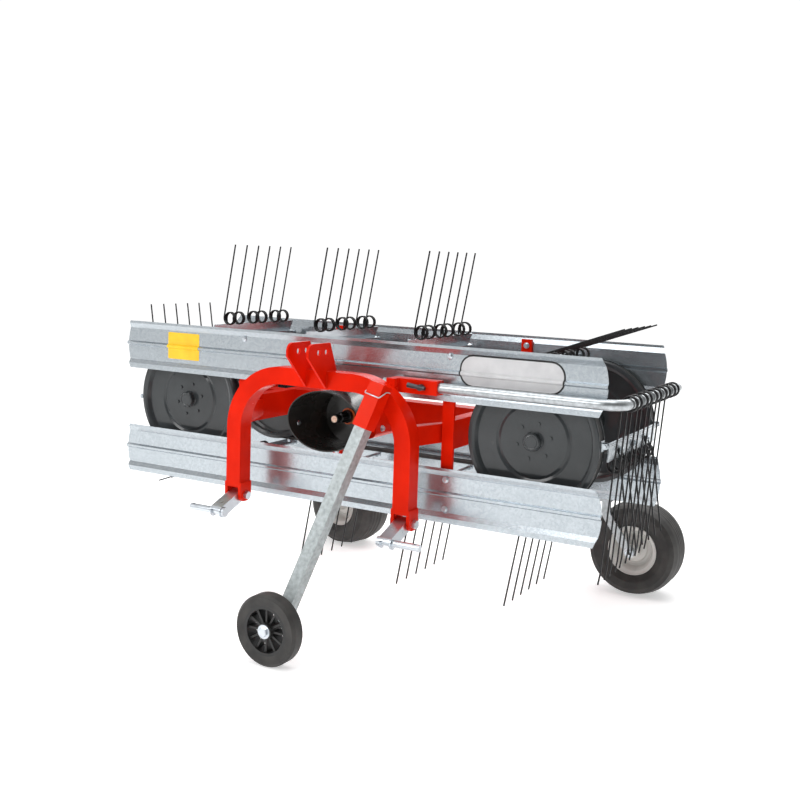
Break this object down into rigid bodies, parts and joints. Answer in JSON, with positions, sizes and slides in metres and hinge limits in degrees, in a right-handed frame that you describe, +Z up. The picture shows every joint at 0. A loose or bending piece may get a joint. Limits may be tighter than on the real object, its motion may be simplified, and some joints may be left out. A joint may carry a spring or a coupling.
{
  "type": "hay tedder",
  "caption": "Belt hay tedder and side rake for a small tractor: red three-point frame, two tine belts with ten raking bars between galvanised guards, a windrow comb, castors and a stand.",
  "frame": {"origin": "on the ground under the middle of the whole machine's box, as it is parked on its castors and stand", "axes": "+X along the guards to the delivery end with the comb, +Y away from the tractor, +Z up"},
  "size_m": [1.9456, 1.423, 1.2231],
  "materials": {
    "belt_rubber": "matt",
    "black_plastic": "moulded",
    "black_spring": "black spring steel",
    "bright_steel": "machined",
    "cast_housing": "painted",
    "cream_paint": "gloss",
    "dark_paint": "dark grey satin",
    "galvanised": "galvanised",
    "orange_seal": "satin",
    "red_paint": "gloss orange-red",
    "solid_rubber": "matt",
    "tyre_rubber": "matt",
    "yellow_zinc": "zinc plated"
  },
  "bodies": {
    "frame": {"bearing_tubes": "red_paint", "braces": "red_paint", "castor_beam": "red_paint", "castor_head_left": "red_paint", "castor_head_right": "red_paint", "clamp_lever": "bright_steel", "cross_beam": "red_paint", "end_arms": "red_paint", "front_belt": "belt_rubber", "front_pulleys": "dark_paint", "gearbox": "cast_housing", "guard_front_lower": "galvanised", "guard_front_upper": "galvanised", "guard_posts": "red_paint", "guard_rear_lower": "galvanised", "guard_rear_upper": "galvanised", "hitch_arch": "red_paint", "link_bolts": "yellow_zinc", "pto_guard": "black_plastic", "pto_shaft": "bright_steel", "pulley_shafts": "bright_steel", "rail_holder": "red_paint", "rear_belt": "belt_rubber", "rear_pulleys": "dark_paint", "shaft_seal": "orange_seal", "side_beams": "red_paint", "stand_sleeve": "red_paint", "tine_bar_01": "galvanised", "tine_bar_02": "galvanised", "tine_bar_03": "galvanised", "tine_bar_04": "galvanised", "tine_bar_05": "galvanised", "tine_bar_06": "galvanised", "tine_bar_07": "galvanised", "tine_bar_08": "galvanised", "tine_bar_09": "galvanised", "tine_bar_10": "galvanised", "top_link_ears": "red_paint"},
    "link_left": {"link_bracket_left": "yellow_zinc"},
    "castor_left": {"castor_arm_left": "galvanised"},
    "castor_wheel_left": {"castor_rim_left": "cream_paint", "castor_tyre_left": "tyre_rubber"},
    "link_right": {"link_bracket_right": "yellow_zinc"},
    "castor_right": {"castor_arm_right": "galvanised"},
    "castor_wheel_right": {"castor_rim_right": "cream_paint", "castor_tyre_right": "tyre_rubber"},
    "stand": {"stand_tube": "galvanised"},
    "stand_wheel": {"stand_wheel_rim": "black_plastic", "stand_wheel_tyre": "solid_rubber"},
    "comb": {"comb_rail": "galvanised", "comb_tines": "black_spring"}
  },
  "joints": [
    {"name": "link_pivot_left", "type": "hinge", "parent": "frame", "child": "link_left", "pos_m": [-0.3371, -0.3411, 0.391], "axis": [1, 0, 0], "range_deg": [-25, 25]},
    {"name": "castor_swivel_left", "type": "hinge", "parent": "frame", "child": "castor_left", "pos_m": [-0.6281, 0.6195, 0.347], "axis": [0, 0, 1], "continuous": true},
    {"name": "castor_roll_left", "type": "hinge", "parent": "castor_left", "child": "castor_wheel_left", "pos_m": [-0.47355, 0.57809, 0.168], "axis": [0.2588, 0.9659, 0], "continuous": true},
    {"name": "link_pivot_right", "type": "hinge", "parent": "frame", "child": "link_right", "pos_m": [0.3049, -0.3411, 0.391], "axis": [1, 0, 0], "range_deg": [-25, 25]},
    {"name": "castor_swivel_right", "type": "hinge", "parent": "frame", "child": "castor_right", "pos_m": [0.5959, 0.6195, 0.347], "axis": [0, 0, 1], "continuous": true},
    {"name": "castor_roll_right", "type": "hinge", "parent": "castor_right", "child": "castor_wheel_right", "pos_m": [0.7559, 0.6195, 0.168], "axis": [0, 1, 0], "continuous": true},
    {"name": "stand_slide", "type": "slide", "parent": "frame", "child": "stand", "axis": [0.2414, 0.2933, 0.925], "range_m": [0, 0.4]},
    {"name": "stand_roll", "type": "hinge", "parent": "stand", "child": "stand_wheel", "pos_m": [0.0559, -0.6785, 0.107], "axis": [0, 1, 0], "continuous": true},
    {"name": "comb_slide", "type": "slide", "parent": "frame", "child": "comb", "axis": [1, 0, 0], "range_m": [0, 0.15]}
  ]
}
